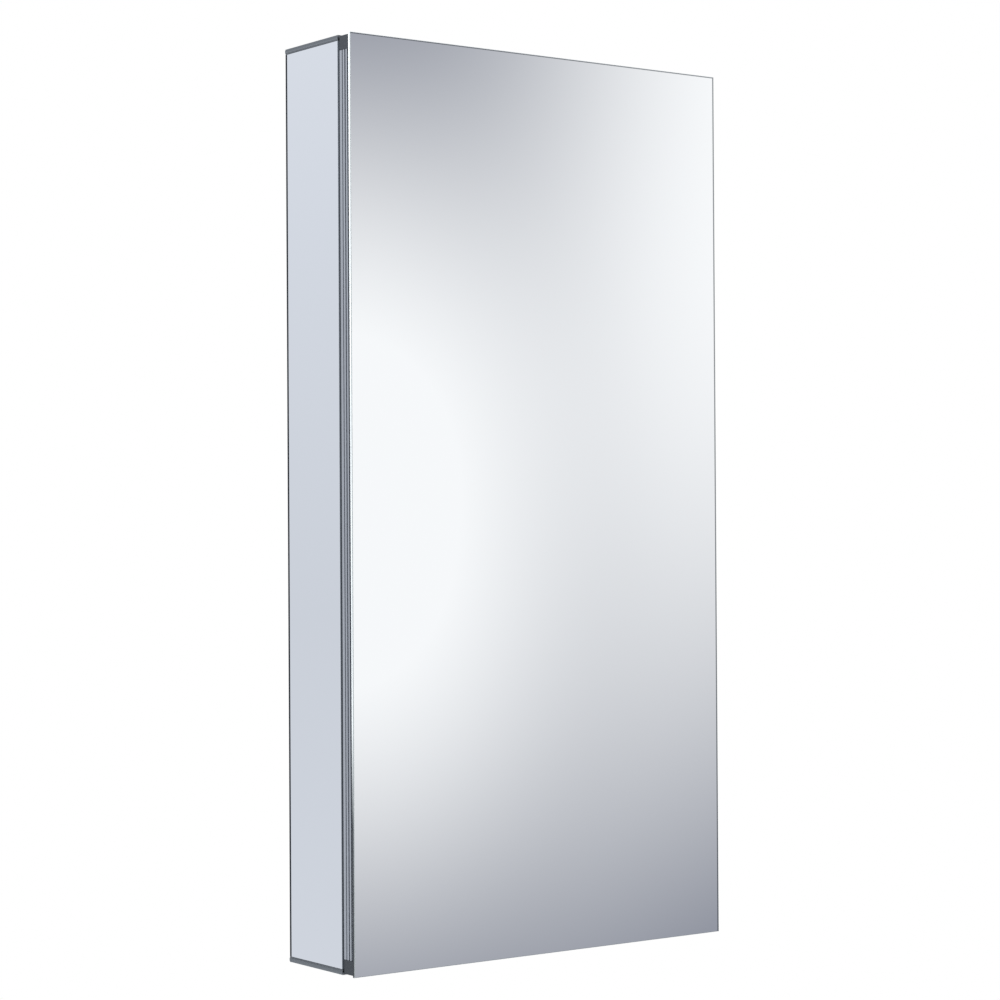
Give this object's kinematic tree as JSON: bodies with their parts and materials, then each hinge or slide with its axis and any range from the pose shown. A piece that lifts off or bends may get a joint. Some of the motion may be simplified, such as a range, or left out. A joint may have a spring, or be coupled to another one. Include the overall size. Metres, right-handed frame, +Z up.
{
  "type": "mirrored medicine cabinet",
  "caption": "Tall wall cabinet with a full-face mirror door, mirrored sides and dark aluminium trims; the door swings open on side hinges over glass shelves.",
  "frame": {"origin": "middle of the cabinet's back, on the wall plane", "axes": "+Z up, +X to the viewer's right, the door on the front faces -Y"},
  "size_m": [0.387, 0.0993, 0.762],
  "materials": {
    "case_aluminium": "satin anodised",
    "bracket_steel": "galvanised",
    "back_steel": "galvanised and painted",
    "back_mirror": "silvered",
    "side_mirror": "silvered",
    "trim_aluminium": "dark satin anodised",
    "shelf_glass": "clear, polished edges",
    "clip_nickel": "nickel plated",
    "hinge_nickel": "nickel plated",
    "hinge_pin_steel": "ground steel",
    "door_front_mirror": "silvered, polished edges",
    "door_inner_mirror": "silvered",
    "door_board": "fibreboard",
    "door_aluminium": "satin anodised",
    "corner_plastic": "moulded, dark grey",
    "bumper_rubber": "translucent"
  },
  "bodies": {
    "case": {"case_left_wall": "case_aluminium", "case_right_wall": "case_aluminium", "case_top_panel": "case_aluminium", "case_bottom_panel": "case_aluminium", "back_stiffener": "case_aluminium", "hang_rail": "case_aluminium", "back_panel": "back_steel", "back_mirror": "back_mirror", "bracket_top_left": "bracket_steel", "bracket_top_right": "bracket_steel", "bracket_bottom_left": "bracket_steel", "bracket_bottom_right": "bracket_steel", "side_mirror_left": "side_mirror", "side_mirror_right": "side_mirror", "top_trim_left": "trim_aluminium", "top_trim_right": "trim_aluminium", "bottom_trim_left": "trim_aluminium", "bottom_trim_right": "trim_aluminium", "rear_trim_left": "trim_aluminium", "rear_trim_right": "trim_aluminium", "shelf_1": "shelf_glass", "shelf_2": "shelf_glass", "shelf_3": "shelf_glass", "shelf_1_clip_left_front": "clip_nickel", "shelf_1_clip_left_rear": "clip_nickel", "shelf_1_clip_right_front": "clip_nickel", "shelf_1_clip_right_rear": "clip_nickel", "shelf_2_clip_left_front": "clip_nickel", "shelf_2_clip_left_rear": "clip_nickel", "shelf_2_clip_right_front": "clip_nickel", "shelf_2_clip_right_rear": "clip_nickel", "shelf_3_clip_left_front": "clip_nickel", "shelf_3_clip_left_rear": "clip_nickel", "shelf_3_clip_right_front": "clip_nickel", "shelf_3_clip_right_rear": "clip_nickel", "hinge_plate_top": "hinge_nickel", "hinge_plate_bottom": "hinge_nickel", "hinge_arm_top": "hinge_nickel", "hinge_arm_bottom": "hinge_nickel", "hinge_screw_top": "hinge_nickel", "hinge_screw_bottom": "hinge_nickel"},
    "door": {"door_front_mirror": "door_front_mirror", "door_inner_mirror": "door_inner_mirror", "door_core_board": "door_board", "door_stile_left": "door_aluminium", "door_stile_right": "door_aluminium", "door_rail_top": "door_aluminium", "door_rail_bottom": "door_aluminium", "door_corner_top_left": "corner_plastic", "door_corner_top_right": "corner_plastic", "door_corner_bottom_left": "corner_plastic", "door_corner_bottom_right": "corner_plastic", "door_bumper_top": "bumper_rubber", "door_bumper_bottom": "bumper_rubber", "hinge_housing_top": "hinge_nickel", "hinge_housing_bottom": "hinge_nickel", "hinge_pin_top": "hinge_pin_steel", "hinge_pin_bottom": "hinge_pin_steel"}
  },
  "joints": [
    {"name": "door_swing", "type": "hinge", "parent": "case", "child": "door", "pos_m": [0.188, -0.0896, 0], "axis": [0, 0, 1], "range_deg": [0, 100]}
  ]
}
